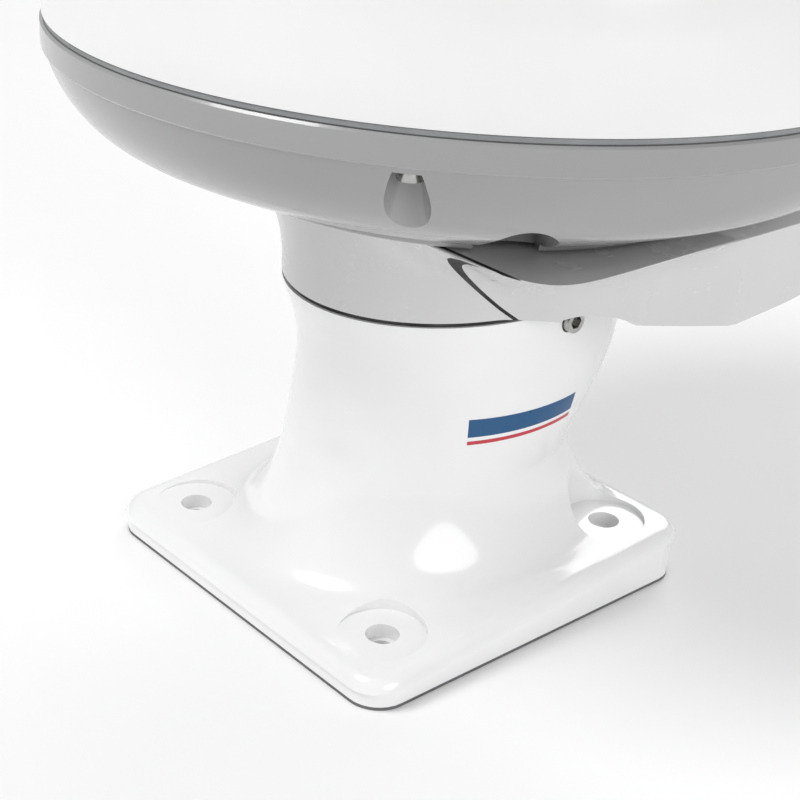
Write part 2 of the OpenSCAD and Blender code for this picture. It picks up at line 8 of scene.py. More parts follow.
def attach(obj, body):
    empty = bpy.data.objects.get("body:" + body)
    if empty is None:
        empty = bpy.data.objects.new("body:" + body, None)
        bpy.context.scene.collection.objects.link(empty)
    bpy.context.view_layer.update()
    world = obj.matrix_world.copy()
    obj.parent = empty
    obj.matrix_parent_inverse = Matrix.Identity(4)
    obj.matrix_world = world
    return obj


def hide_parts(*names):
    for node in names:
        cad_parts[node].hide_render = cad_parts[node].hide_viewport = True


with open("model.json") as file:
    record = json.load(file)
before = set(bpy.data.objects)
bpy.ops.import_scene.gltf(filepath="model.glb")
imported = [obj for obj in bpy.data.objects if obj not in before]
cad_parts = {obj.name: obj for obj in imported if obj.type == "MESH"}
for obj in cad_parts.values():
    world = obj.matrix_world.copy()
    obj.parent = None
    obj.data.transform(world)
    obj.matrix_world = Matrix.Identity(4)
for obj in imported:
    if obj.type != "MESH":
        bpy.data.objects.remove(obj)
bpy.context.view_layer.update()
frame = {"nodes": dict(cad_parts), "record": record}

MM = 0.001
AXIS_R = 0.02  # turned pieces stop just short of the axis

# ---- Driving sizes, in millimetres, as the CAD has them ----

HALF_PLATE = 89.0
PLATE_CORNER = 15.0
PLATE_X = 25.0
PLATE_FOOT_Z = 1.5
RIM_FRONT = 7.1
RIM_R = 6.0
RIM_INSET = 1.3
WEDGE = math.tan(math.radians(3.9))
BOLT_HALF = 62.6
BOLT_HOLE_R = 4.4
COUNTERBORE_R = 6.7
COUNTERBORE_DEPTH = 6.0
SPOT_R = 17.5
SPOT_DEPTH = 0.8
LOCK_Z = 125.3
LOCK_HOLE_R = 3.0
LOCK_SEAT_R = 5.2
LOCK_SEAT_Y = 60.5
SCALLOP_R = 17.0
FLARE_TOP = 55.0
NECK_Z = 131.4
NECK_X = 2.2
NECK_A = 75.5
NECK_B = 64.5
NECK_TILT = math.radians(3.4)
NECK_SLOPE = math.tan(NECK_TILT)
NECK_GASKET = 2.0
NECK_BORE = 40.0
NECK_BOLT_RING = 50.0
NECK_FLANGE_T = 6.0
CLEARANCE_R = 4.4
CAST_WALL = 6.0
TOP_Z = 172.0
TOP_T = 5.0
TOP_HALF_W = 121.0
TOP_FRONT = 80.0
TOP_AFT = 100.0
ADAPTER_WALL = 4.0
SEAM_TILT = math.radians(40.5)
SEAM_FOOT = (29.0, 131.0)
SEAM_GAP = 0.6
DOME_R = 166.0
FOOT_Z = 173.0
PAN_Z = 228.0
RADOME_Z = 230.4
CROWN_Z = 360.0
SHELL_T = 3.5
PAN_FLOOR_Z = 183.0
PAN_BAY_R = 97.0
PAN_CREASE_Z = 218.0
SCREW_RING = 156.0
POCKET_RING = 158.5
SCREW_ANGLES = (39, 141, 219, 321)
POCKET_R = 7.3
POCKET_TOP = 216.0
NOTCH_ANGLE = 53.5
NOTCH_R = 11.5
NOTCH_Z = 185.0
PAN_FOOT_R = 106.0
PAN_FOOT_SLOPE = 0.43
DOME_BOLT_X = 44.0
DOME_BOLT_Y = 62.0

# Ribs inside the rear housing: angle and reach
RIBS = ((105, 119), (155, 104.5), (205, 104.5), (255, 119))

# Openings in the pan's floor for the sockets and the vent: x, y, radius
INLETS = ((24, 40, 9), (50, 20, 8), (-40, 0, 4))

# Column sections: height, centre, half length, half width
SECTIONS = ((FLARE_TOP, 12.5, 65.5, 54), (77, 4.5, 68, 58), (98, -1.5, 71, 61), (115, -1, 73, 62.8),
            (NECK_Z, NECK_X, NECK_A, NECK_B))

BOLTS = [(PLATE_X + sx * BOLT_HALF, sy * BOLT_HALF) for sx in (-1, 1) for sy in (-1, 1)]
NECK_BOLTS = [(NECK_BOLT_RING * math.cos(math.radians(a)), NECK_BOLT_RING * math.sin(math.radians(a)))
              for a in (45, 135, 225, 315)]
DOME_BOLTS = [(sx * DOME_BOLT_X, sy * DOME_BOLT_Y) for sx in (-1, 1) for sy in (-1, 1)]
ON_NECK = Matrix.Translation((NECK_X, 0, NECK_Z)) @ Matrix.Rotation(NECK_TILT, 4, "Y")


# ---- Shape formulas ----

def square_radius(angle, half, corner):
    """Radius of a rounded square at an angle from its centre."""
    c, s = abs(math.cos(angle)), abs(math.sin(angle))
    flat = half / max(c, s)
    core = half - corner
    if flat * min(c, s) <= core:
        return flat
    b = core * (c + s)
    return b + math.sqrt(max(b * b - 2 * core * core + corner * corner, 0))


def crease_z(x):
    return RIM_FRONT + (PLATE_X + HALF_PLATE - x) * WEDGE


def section_at(z):
    """Smooth column section at a height: centre, half length, half width."""
    z = max(z, FLARE_TOP)
    last = len(SECTIONS) - 2
    i = next((k for k in range(last) if z <= SECTIONS[k + 1][0]), last)
    p, q = SECTIONS[i], SECTIONS[i + 1]
    before, after = SECTIONS[max(i - 1, 0)], SECTIONS[min(i + 2, last + 1)]
    t = (z - p[0]) / (q[0] - p[0])
    weights = (2 * t**3 - 3 * t**2 + 1, t**3 - 2 * t**2 + t, 3 * t**2 - 2 * t**3, t**3 - t**2)
    return [weights[0] * p[k] + weights[1] * (q[k] - before[k]) / 2
            + weights[2] * q[k] + weights[3] * (after[k] - p[k]) / 2 for k in (1, 2, 3)]


def turns(count):
    return [2 * math.pi * i / count for i in range(count)]


def column_ring(z, inset, count):
    """One ring of the column; it tilts gradually to the neck's slope."""
    centre, a, b = section_at(z)
    tilt = NECK_SLOPE * (z - FLARE_TOP) / (NECK_Z - FLARE_TOP)
    return [(centre + (a - inset) * math.cos(t), (b - inset) * math.sin(t),
             z - (a - inset) * math.cos(t) * tilt) for t in turns(count)]


def rim_ring(inset, up, count):
    """One ring of the plate's rim; up is 0 at the crease and 1 on top."""
    ring = []
    for t in turns(count):
        r = square_radius(t, HALF_PLATE - inset, PLATE_CORNER - inset)
        x = PLATE_X + r * math.cos(t)
        ring.append((x, r * math.sin(t), crease_z(x) + RIM_R * up))
    return ring


def flare_ring(u, count):
    """One ring of the foot flare; u is 0 at the rim and 1 at the column."""
    centre, a, b = section_at(FLARE_TOP)
    ring = []
    for t in turns(count):
        r = square_radius(t, HALF_PLATE - RIM_R, PLATE_CORNER - RIM_R)
        foot = Vector((PLATE_X + r * math.cos(t), r * math.sin(t)))
        top = Vector((centre + a * math.cos(t), b * math.sin(t)))
        p = foot.lerp(top, u)
        decay = 9.5 + 2.5 * max(0, -math.cos(t))
        foot_z = crease_z(p.x) + RIM_R
        ring.append((p.x, p.y, foot_z + (FLARE_TOP - foot_z) * u ** ((foot - top).length / decay)))
    return ring


def top_radius(angle, inset):
    reach = (TOP_FRONT if math.cos(angle) > 0 else TOP_AFT) - inset
    square = 9
    return ((abs(math.cos(angle)) / reach) ** square
            + (abs(math.sin(angle)) / (TOP_HALF_W - inset)) ** square) ** (-1 / square)


def low_radius(angle, inset):
    """Radius of the adapter's lower edge: the neck oval forward, the full width aft."""
    degrees = math.degrees(angle)
    turn = 360 - degrees if degrees > 180 else degrees
    oval = 1 / math.hypot(math.cos(angle) / NECK_A, math.sin(angle) / NECK_B) + NECK_X * math.cos(angle)
    blend = min(1, max(0, (turn - 58) / 46)) ** 1.7
    return oval - inset + (0.97 * top_radius(angle, inset) - oval + inset) * blend


def adapter_ring(t, inset, count, flat_z=None):
    """One ring of the adapter; t is 0 at its lower edge and 1 at its top."""
    low_z = NECK_Z + NECK_GASKET / math.cos(NECK_TILT)
    ring = []
    for angle in turns(count):
        low, high = low_radius(angle, inset), top_radius(angle, inset)
        r = low + (high - low) * t**2.6
        edge = low_z - (r * math.cos(angle) - NECK_X) * NECK_SLOPE
        z = edge + (TOP_Z - edge) * t if flat_z is None else flat_z
        ring.append((r * math.cos(angle), r * math.sin(angle), z))
    return ring


# ---- Mesh helpers ----

def add_mesh(name, points, faces):
    mesh = bpy.data.meshes.new(name)
    mesh.from_pydata([Vector(p) * MM for p in points], [], faces)
    mesh.validate()
    obj = bpy.data.objects.new(name, mesh)
    bpy.context.scene.collection.objects.link(obj)
    return obj


def loft(name, rings):
    """Closed solid through rings with the same number of points, capped by fans."""
    n, count = len(rings[0]), len(rings)
    points = [p for ring in rings for p in ring]
    for ring in (rings[0], rings[-1]):
        points.append((Vector(ring[0]) + Vector(ring[n // 2])) / 2)
    faces = []
    for k in range(count - 1):
        for i in range(n):
            j = (i + 1) % n
            faces.append((k * n + i, k * n + j, (k + 1) * n + j, (k + 1) * n + i))
    up = (count - 1) * n
    for i in range(n):
        j = (i + 1) % n
        faces.append((count * n, j, i))
        faces.append((count * n + 1, up + i, up + j))
    return add_mesh(name, points, faces)


def lathe(name, profile, count):
    """Solid of revolution about Z; the profile is a closed loop of (radius, height)."""
    points = [(r * math.cos(t), r * math.sin(t), z) for t in turns(count) for r, z in profile]
    n = len(profile)
    faces = []
    for i in range(count):
        a, b = i * n, (i + 1) % count * n
        for k in range(n):
            m = (k + 1) % n
            faces.append((a + k, b + k, b + m, a + m))
    return add_mesh(name, points, faces)


def peg(name, radius, height, place=Matrix(), count=96):
    """Cylinder standing on its place's XY plane."""
    rings = [[tuple(place @ Vector((radius * math.cos(t), radius * math.sin(t), z))) for t in turns(count)]
             for z in (0, height)]
    return loft(name, rings)


def block(name, low, high, place=Matrix()):
    corners = [(low[0], low[1]), (high[0], low[1]), (high[0], high[1]), (low[0], high[1])]
    points = [tuple(place @ Vector((x, y, z))) for z in (low[2], high[2]) for x, y in corners]
    faces = [(3, 2, 1, 0), (4, 5, 6, 7)] + [(i, (i + 1) % 4, (i + 1) % 4 + 4, i + 4) for i in range(4)]
    return add_mesh(name, points, faces)


def combine(target, other, operation):
    """Applies a boolean with another object, which is then removed."""
    step = target.modifiers.new("step", "BOOLEAN")
    step.operation = operation
    step.solver = "MANIFOLD"
    step.object = other
    bpy.context.view_layer.objects.active = target
    bpy.ops.object.modifier_apply(modifier=step.name)
    bpy.data.objects.remove(other)


def cut(target, *others):
    for other in others:
        combine(target, other, "DIFFERENCE")


def join(target, *others):
    for other in others:
        combine(target, other, "UNION")


def smooth(obj, degrees=32):
    for face in obj.data.polygons:
        face.use_smooth = True
    obj.data.set_sharp_from_angle(angle=math.radians(degrees))


def round_edges(obj, width):
    bevel = obj.modifiers.new("edges", "BEVEL")
    bevel.width = width * MM
    bevel.segments = 2
    bevel.limit_method = "ANGLE"
    bevel.angle_limit = math.radians(40)
    bevel.harden_normals = True


def at(x, y, z):
    return Matrix.Translation((x, y, z))


def sideways(x, y, z, side):
    """Place whose Z axis points to port or starboard."""
    return at(x, y, z) @ Matrix.Rotation(-side * math.pi / 2, 4, "X")


def around_dome(degrees, x=0.0, y=0.0, z=0.0):
    return Matrix.Rotation(math.radians(degrees), 4, "Z") @ at(x, y, z)


def duplicate(source, name):
    twin = source.copy()
    twin.data = source.data.copy()
    twin.name = name
    bpy.context.scene.collection.objects.link(twin)
    return twin


# ---- Materials ----

def node_material(name):
    material = bpy.data.materials.new(name)
    material.use_nodes = True
    tree = material.node_tree
    return material, tree, tree.nodes["Principled BSDF"]


def noise(tree, coords, scale, detail=3.0, roughness=0.55):
    node = tree.nodes.new("ShaderNodeTexNoise")
    node.inputs["Scale"].default_value = scale
    node.inputs["Detail"].default_value = detail
    node.inputs["Roughness"].default_value = roughness
    tree.links.new(coords, node.inputs["Vector"])
    return node.outputs["Fac"]


def ramp(tree, value, stops):
    node = tree.nodes.new("ShaderNodeValToRGB")
    elements = node.color_ramp.elements
    for element, (place, colour) in zip(elements, stops):
        element.position = place
        element.color = (*colour, 1)
    tree.links.new(value, node.inputs["Fac"])
    return node.outputs["Color"]


def spread(tree, value, low, high):
    node = tree.nodes.new("ShaderNodeMapRange")
    node.inputs["From Min"].default_value = 0.3
    node.inputs["From Max"].default_value = 0.7
    node.inputs["To Min"].default_value = low
    node.inputs["To Max"].default_value = high
    tree.links.new(value, node.inputs["Value"])
    return node.outputs["Result"]


def mix(tree, factor, a, b):
    node = tree.nodes.new("ShaderNodeMix")
    node.data_type = "RGBA"
    tree.links.new(factor, node.inputs["Factor"])
    for socket, value in ((node.inputs["A"], a), (node.inputs["B"], b)):
        if isinstance(value, tuple):
            socket.default_value = (*value, 1)
        else:
            tree.links.new(value, socket)
    return node.outputs["Result"]


def bump(tree, height, strength, distance, normal=None):
    node = tree.nodes.new("ShaderNodeBump")
    node.inputs["Strength"].default_value = strength
    node.inputs["Distance"].default_value = distance * MM
    tree.links.new(height, node.inputs["Height"])
    if normal is not None:
        tree.links.new(normal, node.inputs["Normal"])
    return node.outputs["Normal"]


def stretched(tree, coords, scale):
    node = tree.nodes.new("ShaderNodeMapping")
    node.inputs["Scale"].default_value = scale
    tree.links.new(coords, node.inputs["Vector"])
    return node.outputs["Vector"]


def worn_mask(tree, coords, amount):
    """Sparse hairline scuffs that run mostly level."""
    streaks = noise(tree, stretched(tree, coords, (30, 30, 900)), 3, 4, 0.6)
    patches = noise(tree, coords, 9, 2)
    product = tree.nodes.new("ShaderNodeMath")
    product.operation = "MULTIPLY"
    for socket, (value, low) in zip(product.inputs, ((streaks, 0.58), (patches, 0.52))):
        part = tree.nodes.new("ShaderNodeMapRange")
        part.inputs["From Min"].default_value = low
        part.inputs["From Max"].default_value = low + 0.16
        tree.links.new(value, part.inputs["Value"])
        tree.links.new(part.outputs["Result"], socket)
    scaled = tree.nodes.new("ShaderNodeMath")
    scaled.operation = "MULTIPLY"
    scaled.inputs[1].default_value = amount
    tree.links.new(product.outputs["Value"], scaled.inputs[0])
    return scaled.outputs["Value"]


def paint(name, colour, rough=0.16, coat=0.6, peel=0.05, tint=0.015, wear=0.12):
    """Sprayed gloss paint: orange peel, faint mottling, hairline scuffs."""
    material, tree, shader = node_material(name)
    coords = tree.nodes.new("ShaderNodeTexCoord").outputs["Object"]
    light = tuple(min(1, c * (1 + tint)) for c in colour)
    dark = tuple(c * (1 - tint) for c in colour)
    base = ramp(tree, noise(tree, coords, 14), ((0.35, dark), (0.65, light)))
    base = mix(tree, worn_mask(tree, coords, wear), base, (0.55, 0.55, 0.56))
    tree.links.new(base, shader.inputs["Base Color"])
    tree.links.new(spread(tree, noise(tree, coords, 60, 4), rough * 0.85, rough * 1.25),
                   shader.inputs["Roughness"])
    coarse = bump(tree, noise(tree, coords, 420, 2), peel, 0.12)
    fine = bump(tree, noise(tree, coords, 1800, 2), peel * 0.6, 0.04, coarse)
    tree.links.new(fine, shader.inputs["Normal"])
    shader.inputs["Coat Weight"].default_value = coat
    shader.inputs["Coat Roughness"].default_value = 0.05
    shader.inputs["Specular IOR Level"].default_value = 0.5
    return material


def moulded(name, colour, rough=0.3, grain=0.12, tint=0.03):
    """Moulded plastic: fine spark-eroded grain, flow marks and scuffs."""
    material, tree, shader = node_material(name)
    coords = tree.nodes.new("ShaderNodeTexCoord").outputs["Object"]
    light = tuple(min(1, c * (1 + tint)) for c in colour)
    dark = tuple(c * (1 - tint) for c in colour)
    flow = stretched(tree, coords, (9, 9, 30))
    base = ramp(tree, noise(tree, flow, 2), ((0.35, dark), (0.65, light)))
    scuff = spread(tree, noise(tree, stretched(tree, coords, (40, 220, 90)), 4, 6, 0.7), 0, 0.12)
    base = mix(tree, scuff, base, tuple(c * 0.9 for c in colour))
    tree.links.new(base, shader.inputs["Base Color"])
    tree.links.new(spread(tree, noise(tree, coords, 90, 4), rough * 0.85, rough * 1.2),
                   shader.inputs["Roughness"])
    tree.links.new(bump(tree, noise(tree, coords, 2200, 3), grain, 0.05), shader.inputs["Normal"])
    return material


def rubber(name, colour):
    """Cut sheet rubber: matte, faintly dusty, fine pores."""
    material, tree, shader = node_material(name)
    coords = tree.nodes.new("ShaderNodeTexCoord").outputs["Object"]
    dusty = tuple(min(1, c + 0.05) for c in colour)
    base = ramp(tree, noise(tree, coords, 70, 5), ((0.4, colour), (0.75, dusty)))
    tree.links.new(base, shader.inputs["Base Color"])
    tree.links.new(spread(tree, noise(tree, coords, 120, 3), 0.62, 0.85), shader.inputs["Roughness"])
    tree.links.new(bump(tree, noise(tree, coords, 1500, 5), 0.35, 0.08), shader.inputs["Normal"])
    return material


def metal(name, colour, rough=0.28, brushed=(6, 6, 400), scratch=0.15, tarnish=None):
    """Machined or rolled metal: directional brushing, tarnish and fine scratches."""
    material, tree, shader = node_material(name)
    coords = tree.nodes.new("ShaderNodeTexCoord").outputs["Object"]
    grain = noise(tree, stretched(tree, coords, brushed), 5, 6, 0.65)
    dark = tarnish or tuple(c * 0.82 for c in colour)
    base = ramp(tree, noise(tree, coords, 45, 5), ((0.3, dark), (0.6, colour)))
    tree.links.new(base, shader.inputs["Base Color"])
    shader.inputs["Metallic"].default_value = 1.0
    tree.links.new(spread(tree, grain, rough * 0.75, rough * 1.4), shader.inputs["Roughness"])
    tree.links.new(bump(tree, grain, scratch, 0.03), shader.inputs["Normal"])
    return material


def circuit(name):
    """Green solder mask over a fine pattern of tracks."""
    material, tree, shader = node_material(name)
    coords = tree.nodes.new("ShaderNodeTexCoord").outputs["Object"]
    tracks = tree.nodes.new("ShaderNodeTexBrick")
    tracks.inputs["Scale"].default_value = 160
    tracks.inputs["Mortar Size"].default_value = 0.03
    tracks.inputs["Color1"].default_value = (0.012, 0.13, 0.05, 1)
    tracks.inputs["Color2"].default_value = (0.016, 0.17, 0.07, 1)
    tracks.inputs["Mortar"].default_value = (0.05, 0.32, 0.14, 1)
    tree.links.new(coords, tracks.inputs["Vector"])
    age = spread(tree, noise(tree, coords, 30, 3), 0, 0.3)
    aged = mix(tree, age, tracks.outputs["Color"], (0.02, 0.1, 0.05))
    tree.links.new(aged, shader.inputs["Base Color"])
    tree.links.new(spread(tree, noise(tree, coords, 200, 2), 0.22, 0.36), shader.inputs["Roughness"])
    tree.links.new(bump(tree, tracks.outputs["Fac"], 0.3, 0.04), shader.inputs["Normal"])
    return material


MATERIALS = {
    "white_paint": paint("white_paint", (0.88, 0.88, 0.885)),
    "adapter_paint": paint("adapter_paint", (0.64, 0.64, 0.642), rough=0.24, coat=0.35, peel=0.08),
    # The pan's dark grey is painted shade: it stands in for the shade under the dome, not the plastic's own
    # colour.
    "pan_plastic": paint("pan_plastic", (0.32, 0.32, 0.321), rough=0.2, coat=0.4, peel=0.04, wear=0.1),
    "radome_plastic": paint("radome_plastic", (0.84, 0.84, 0.84), rough=0.17, coat=0.5, peel=0.035,
                            wear=0.08),
    "black_rubber": rubber("black_rubber", (0.012, 0.012, 0.013)),
    "grey_rubber": rubber("grey_rubber", (0.12, 0.12, 0.125)),
    "pale_rubber": rubber("pale_rubber", (0.26, 0.265, 0.27)),
    "stainless": metal("stainless", (0.50, 0.50, 0.49), rough=0.25, tarnish=(0.30, 0.29, 0.27)),
    "bearing_steel": metal("bearing_steel", (0.62, 0.62, 0.63), rough=0.14, brushed=(5, 5, 900),
                           scratch=0.08),
    "aluminium": metal("aluminium", (0.75, 0.76, 0.77), rough=0.32, brushed=(500, 8, 8), scratch=0.2),
    "dark_anodised": metal("dark_anodised", (0.045, 0.045, 0.05), rough=0.38, scratch=0.1),
    "brass": metal("brass", (0.70, 0.50, 0.20), rough=0.24, tarnish=(0.42, 0.29, 0.13)),
    "copper_array": metal("copper_array", (0.62, 0.40, 0.22), rough=0.3, brushed=(8, 300, 8),
                          tarnish=(0.36, 0.22, 0.13)),
    "acetal": moulded("acetal", (0.80, 0.79, 0.74), rough=0.36),
    "black_plastic": moulded("black_plastic", (0.02, 0.02, 0.021), rough=0.45, grain=0.25),
    "circuit_board": circuit("circuit_board"),
}
MARKING_BLUE = moulded("marking_blue", (0.008, 0.085, 0.22), rough=0.3, grain=0.04)
MARKING_RED = moulded("marking_red", (0.55, 0.04, 0.06), rough=0.3, grain=0.04)


def finish_with(obj, slot):
    obj.data.materials.clear()
    obj.data.materials.append(MATERIALS[slot])


def install(obj, node, slot, degrees=32):
    """Finishes a housing piece that stands in for a CAD node."""
    finish_with(obj, slot)
    smooth(obj, degrees)
    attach(obj, "housing")
    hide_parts(node)


# ---- Camera, lights and floor ----

def make_camera():
    data = bpy.data.cameras.new("camera")
    data.lens = 70.75
    data.sensor_width = 36
    data.clip_end = 50
    camera = bpy.data.objects.new("camera", data)
    azimuth, elevation, roll = (math.radians(a) for a in (137.16, 25.66, 3.8))
    back = Vector((math.sin(azimuth) * math.cos(elevation), -math.cos(azimuth) * math.cos(elevation),
                   math.sin(elevation)))
    right = Vector((0, 0, 1)).cross(back).normalized()
    up = back.cross(right)
    tilted_right = right * math.cos(roll) + up * math.sin(roll)
    tilted_up = up * math.cos(roll) - right * math.sin(roll)
    turn = Matrix((tilted_right, tilted_up, back)).transposed().to_4x4()
    camera.matrix_world = Matrix.Translation(Vector((431.3, 434.4, 357.5)) * MM) @ turn
    bpy.context.scene.collection.objects.link(camera)
    bpy.context.scene.camera = camera


def area_light(name, place, aim, size, power):
    data = bpy.data.lights.new(name, "AREA")
    data.shape = "DISK"
    data.size = size
    data.energy = power
    light = bpy.data.objects.new(name, data)
    light.location = place
    light.rotation_euler = (Vector(aim) - Vector(place)).to_track_quat("-Z", "Y").to_euler()
    bpy.context.scene.collection.objects.link(light)


def make_studio():
    scene = bpy.context.scene
    scene.view_settings.view_transform = "Standard"
    world = bpy.data.worlds.new("studio")
    world.use_nodes = True
    world.node_tree.nodes["Background"].inputs["Color"].default_value = (1, 1, 1, 1)
    world.node_tree.nodes["Background"].inputs["Strength"].default_value = 0.5
    scene.world = world
    area_light("key", (1.3, -0.6, 1.9), (0, 0, 0.1), 1.0, 26)
    area_light("fill", (0.3, 2.2, 1.0), (0, 0, 0.1), 1.6, 18)
    area_light("back", (-1.8, -0.8, 1.5), (0, 0, 0.1), 1.4, 16)


def make_floor():
    half = 6000
    floor = add_mesh("floor", [(-half, -half, 0), (half, -half, 0), (half, half, 0), (-half, half, 0)],
                     [(0, 1, 2, 3)])
    material, tree, shader = node_material("floor_white")
    coords = tree.nodes.new("ShaderNodeTexCoord").outputs["Object"]
    tree.links.new(ramp(tree, noise(tree, coords, 3), ((0.4, (0.93,) * 3), (0.6, (0.95,) * 3))),
                   shader.inputs["Base Color"])
    shader.inputs["Roughness"].default_value = 0.9
    floor.data.materials.append(material)


# ---- Pedestal ----

def spot_height(x):
    return crease_z(x) + RIM_R - SPOT_DEPTH


def make_pedestal():
    count = 288
    foot = [(x, y, PLATE_FOOT_Z) for x, y, z in rim_ring(RIM_INSET, 0, count)]
    fillet = [math.radians(a) for a in (15, 30, 45, 60, 75, 90)]
    rings = [foot, rim_ring(RIM_INSET, 0, count), rim_ring(RIM_INSET * 0.3, 0.01, count),
             rim_ring(0, 0.05, count)]
    rings += [rim_ring(RIM_R * (1 - math.cos(a)), math.sin(a), count) for a in fillet]
    steps = 48
    rings += [flare_ring(1 - (1 - k / steps) ** 1.5, count) for k in range(1, steps)]
    levels = 26
    rings += [column_ring(FLARE_TOP + (NECK_Z - FLARE_TOP) * k / levels, 0, count) for k in range(levels + 1)]
    pedestal = loft("pedestal", rings)
    cavity = loft("cavity", [column_ring(z, CAST_WALL, 144) for z in (55, 70, 85, 100, 118)])
    cut(pedestal, cavity, peg("well", 56, 33, at(PLATE_X - 4, 0, -1)),
        peg("throat", 47, 27.5, at(16, 0, 29.7)),
        peg("bore", NECK_BORE, 40, ON_NECK @ at(0, 0, -30)))
    for x, y in BOLTS:
        z = spot_height(x)
        cut(pedestal, peg("spot", SPOT_R, 40, at(x, y, z)),
            peg("counterbore", COUNTERBORE_R, 40, at(x, y, z - COUNTERBORE_DEPTH)),
            peg("bolt_hole", BOLT_HOLE_R, 60, at(x, y, -1)))
    for x, y in NECK_BOLTS:
        cut(pedestal, peg("neck_hole", 4, 40, ON_NECK @ at(x, y, -30), 32))
    for side in (-1, 1):
        cut(pedestal, peg("lock_hole", LOCK_HOLE_R, 40, sideways(0, side * 45, LOCK_Z, side), 48),
            peg("lock_seat", LOCK_SEAT_R, 20, sideways(0, side * LOCK_SEAT_Y, LOCK_Z, side), 64))
    install(pedestal, "pedestal_casting", "white_paint")


def make_side_bar(name, low, high, material):
    """A plain raised bar on the column's port side, with no lettering."""
    aft, fore, skin = -14.0, 38.0, 0.12
    wide, tall = 40, 6
    points = []
    for lift in (skin, -skin):
        for j in range(tall + 1):
            z = low + (high - low) * j / tall
            centre, a, b = section_at(z)
            tilt = NECK_SLOPE * (z - FLARE_TOP) / (NECK_Z - FLARE_TOP)
            for i in range(wide + 1):
                x = aft + (fore - aft) * i / wide
                y = b * math.sqrt(1 - ((x - centre) / a) ** 2) + lift
                points.append((x, y, z - (x - centre) * tilt))
    row = wide + 1
    layer = row * (tall + 1)
    faces = []
    for j in range(tall):
        for i in range(wide):
            k = j * row + i
            faces.append((k + 1, k, k + row, k + row + 1))
            faces.append((layer + k, layer + k + 1, layer + k + row + 1, layer + k + row))
    border = list(range(row)) + [j * row + wide for j in range(1, tall + 1)]
    border += [tall * row + i for i in range(wide - 1, -1, -1)]
    border += [j * row for j in range(tall - 1, 0, -1)]
    for a, b in zip(border, border[1:] + border[:1]):
        faces.append((a, b, layer + b, layer + a))
    bar = add_mesh(name, points, faces)
    bar.data.materials.append(material)
    smooth(bar)
    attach(bar, "housing")


# ---- Adapter ----

def seam_block(name, low, high):
    """Slab along the slanted joint between collar and housing."""
    span = 300
    place = at(SEAM_FOOT[0], 0, SEAM_FOOT[1]) @ Matrix.Rotation(-SEAM_TILT, 4, "Y")
    return block(name, (-span, -span, low), (span, span, high), place)


def make_adapter_shell(name):
    count = 240
    levels = [k / 24 for k in range(24)] + [0.975, 0.99]
    rings = [adapter_ring(t, 0, count) for t in levels] + [adapter_ring(1, 0.9, count)]
    shell = loft(name, rings)
    bottom = [(x, y, z - 12) for x, y, z in adapter_ring(0, ADAPTER_WALL, count)]
    hollow = [bottom] + [adapter_ring(t, ADAPTER_WALL, count) for t in (0, 0.2, 0.4, 0.55)]
    hollow.append(adapter_ring(0.72, ADAPTER_WALL, count, TOP_Z - TOP_T))
    cut(shell, loft("hollow", hollow))
    flange = [[tuple(ON_NECK @ Vector(((NECK_A - 2) * math.cos(t), (NECK_B - 2) * math.sin(t), z)))
               for t in turns(count)] for z in (NECK_GASKET, NECK_GASKET + NECK_FLANGE_T)]
    join(shell, loft("flange", flange))
    cut(shell, peg("neck_opening", NECK_BORE, 25, ON_NECK @ at(0, 0, -5)),
        peg("opening", 30, 30, at(0, 0, TOP_Z - 20)))
    for x, y in NECK_BOLTS:
        cut(shell, peg("hole", CLEARANCE_R, 30, ON_NECK @ at(x, y, -5), 32))
    for x, y in DOME_BOLTS:
        cut(shell, peg("hole", CLEARANCE_R, 30, at(x, y, TOP_Z - 20), 32))
    for side in (-1, 1):
        cut(shell, peg("scallop", SCALLOP_R, 80, sideways(8, side * 66, 119.5, side)))
    return shell


def make_adapter():
    collar = make_adapter_shell("collar")
    housing = duplicate(collar, "housing_shell")
    seal = duplicate(collar, "housing_seal")
    cut(collar, seam_block("aft_side", -SEAM_GAP, 300))
    for angle, reach in RIBS:
        join(housing, block("rib", (64, -2, 139), (reach, 2, 169), around_dome(angle)))
    cut(housing, seam_block("fore_side", -300, SEAM_GAP))
    combine(seal, seam_block("slit", -SEAM_GAP, SEAM_GAP), "INTERSECT")
    install(collar, "front_collar", "adapter_paint")
    install(housing, "rear_housing", "adapter_paint")
    install(seal, "housing_gasket", "black_rubber")


def make_neck_seal():
    count = 288
    a, b = NECK_A - 0.9, NECK_B - 0.9
    heights = ((0, 0.35), (0.35, 0), (NECK_GASKET - 0.35, 0), (NECK_GASKET, 0.35))
    rings = [[tuple(ON_NECK @ Vector(((a - inset) * math.cos(t), (b - inset) * math.sin(t), z)))
              for t in turns(count)] for z, inset in heights]
    seal = loft("neck_seal", rings)
    cut(seal, peg("opening", NECK_BORE, 20, ON_NECK @ at(0, 0, -8)))
    for x, y in NECK_BOLTS:
        cut(seal, peg("hole", 4, 20, ON_NECK @ at(x, y, -8), 32))
    install(seal, "neck_gasket", "black_rubber")


# ---- Dome ----

def pan_point(t, inset):
    """Point on the pan: a shallow cone from its foot that runs softly into an oval."""
    r = 100 + (DOME_R - 100 - inset) * math.sin(t)
    oval = PAN_Z - (PAN_Z - FOOT_Z - 2 - inset) * math.cos(t)
    cone = FOOT_Z + 1.09 * inset + (r - PAN_FOOT_R) * PAN_FOOT_SLOPE
    return r, (oval + cone) / 2 + math.hypot((oval - cone) / 2, 1.5 * math.cos(t))


def arch(name, radius, start, low):
    """Radial cable channel with a round top, from a start radius outwards."""
    half = [math.pi * i / 48 for i in range(49)]
    outline = [(radius, low)] + [(radius * math.cos(a), NOTCH_Z + radius * math.sin(a)) for a in half]
    outline.append((-radius, low))
    rings = [[tuple(around_dome(NOTCH_ANGLE) @ Vector((x, y, z))) for y, z in outline]
             for x in (start, DOME_R)]
    return loft(name, rings)


